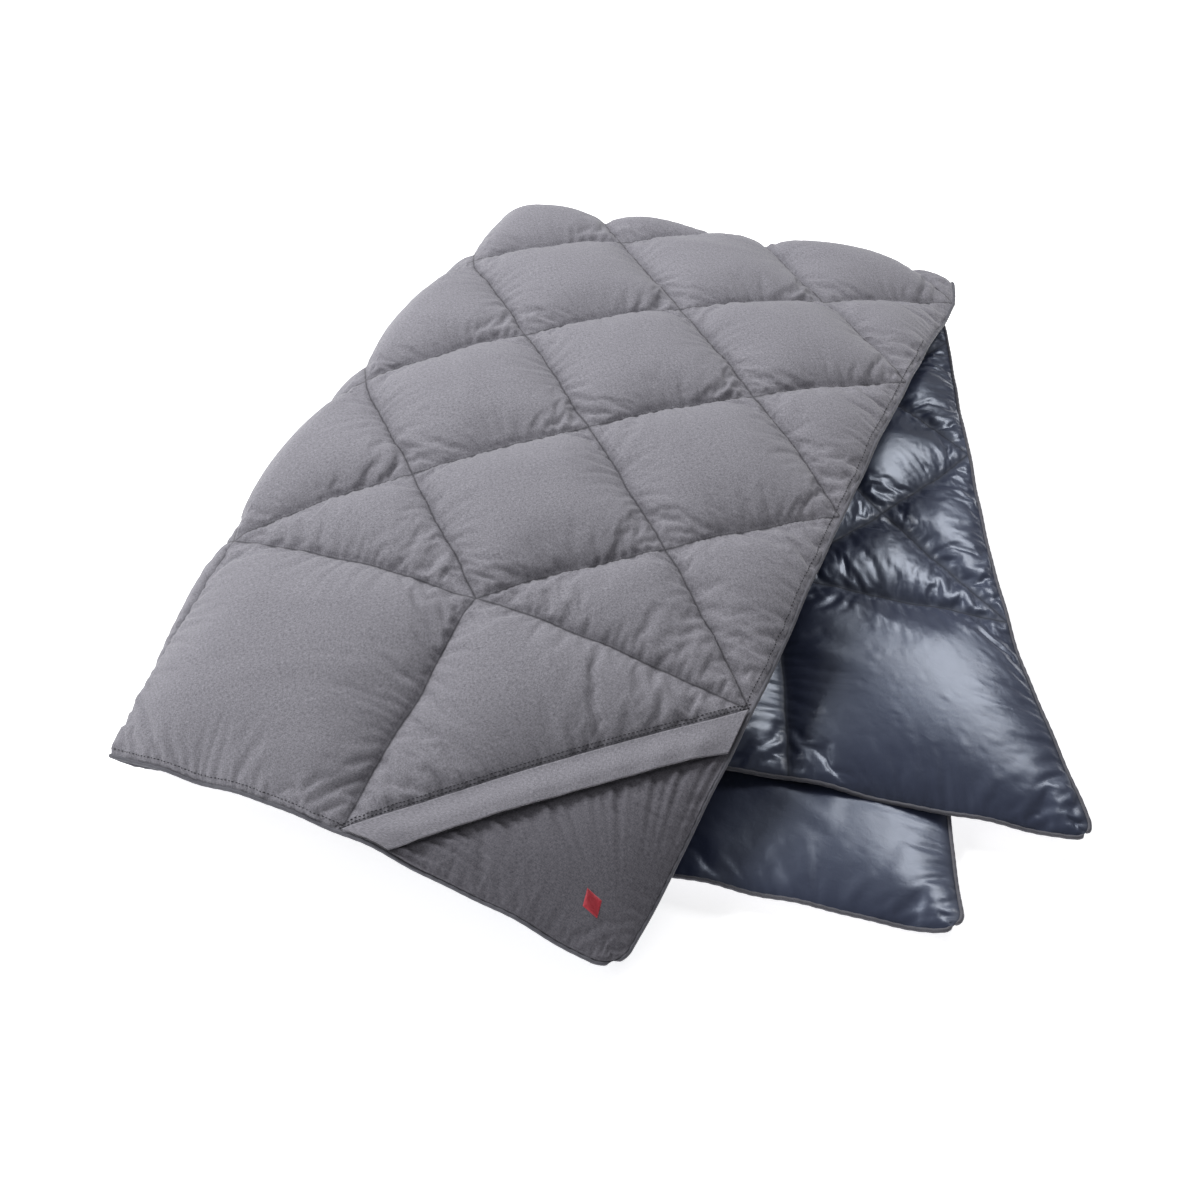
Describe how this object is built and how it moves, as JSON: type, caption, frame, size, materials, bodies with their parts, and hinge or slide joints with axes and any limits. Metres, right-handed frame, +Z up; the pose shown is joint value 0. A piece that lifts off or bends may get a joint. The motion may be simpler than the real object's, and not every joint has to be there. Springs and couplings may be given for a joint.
{
  "type": "camp quilt",
  "caption": "Down camp quilt with a diamond-stitched grey shell, a dark slate lining and a corner stuff pocket, folded and lying on the floor.",
  "frame": {"origin": "middle of the bounding box, on the floor the quilt rests on", "axes": "+Z up; +Y from the open hems at the front to the turned fold at the back; +X towards the fanned-out lining corners"},
  "size_m": [0.8437, 0.9774, 0.1962],
  "materials": {
    "shell_cloth": "matte heathered polyester, fine plain weave, mid grey",
    "lining_cloth": "glossy calendered nylon taffeta, dark slate navy",
    "down_fill": "down, sealed inside the stitched chambers",
    "piping_cord": "thin corded edging, charcoal",
    "pocket_cloth": "matte heathered polyester, same cloth as the shell",
    "mark_thread": "red satin stitch embroidery thread"
  },
  "bodies": {
    "quilt": {"embroidered_mark": "mark_thread", "fill_diamonds_01": "down_fill", "fill_diamonds_02": "down_fill", "fill_diamonds_03": "down_fill", "fill_diamonds_04": "down_fill", "fill_diamonds_05": "down_fill", "fill_diamonds_06": "down_fill", "fill_diamonds_07": "down_fill", "fill_diamonds_08": "down_fill", "fill_diamonds_09": "down_fill", "fill_diamonds_10": "down_fill", "fill_diamonds_11": "down_fill", "fill_diamonds_12": "down_fill", "fill_diamonds_13": "down_fill", "fill_far_end": "down_fill", "fill_pocket_end": "down_fill", "lining_back_fold": "lining_cloth", "lining_back_under": "lining_cloth", "lining_floor": "lining_cloth", "lining_hidden": "lining_cloth", "lining_second": "lining_cloth", "lining_side_fold": "lining_cloth", "lining_top": "lining_cloth", "piping_far_end": "piping_cord", "piping_left": "piping_cord", "piping_pocket_end": "piping_cord", "piping_right": "piping_cord", "pocket_panel": "pocket_cloth", "shell_back_fold": "shell_cloth", "shell_back_under": "shell_cloth", "shell_floor": "shell_cloth", "shell_hidden": "shell_cloth", "shell_second": "shell_cloth", "shell_side_fold": "shell_cloth", "shell_top": "shell_cloth"},
    "flap": {"pocket_flap": "pocket_cloth"}
  },
  "joints": [
    {"name": "pocket_flap_lift", "type": "hinge", "parent": "quilt", "child": "flap", "pos_m": [-0.0367, -0.32715, 0.09092], "axis": [-0.958, -0.2556, -0.1298], "range_deg": [0, 60]}
  ]
}
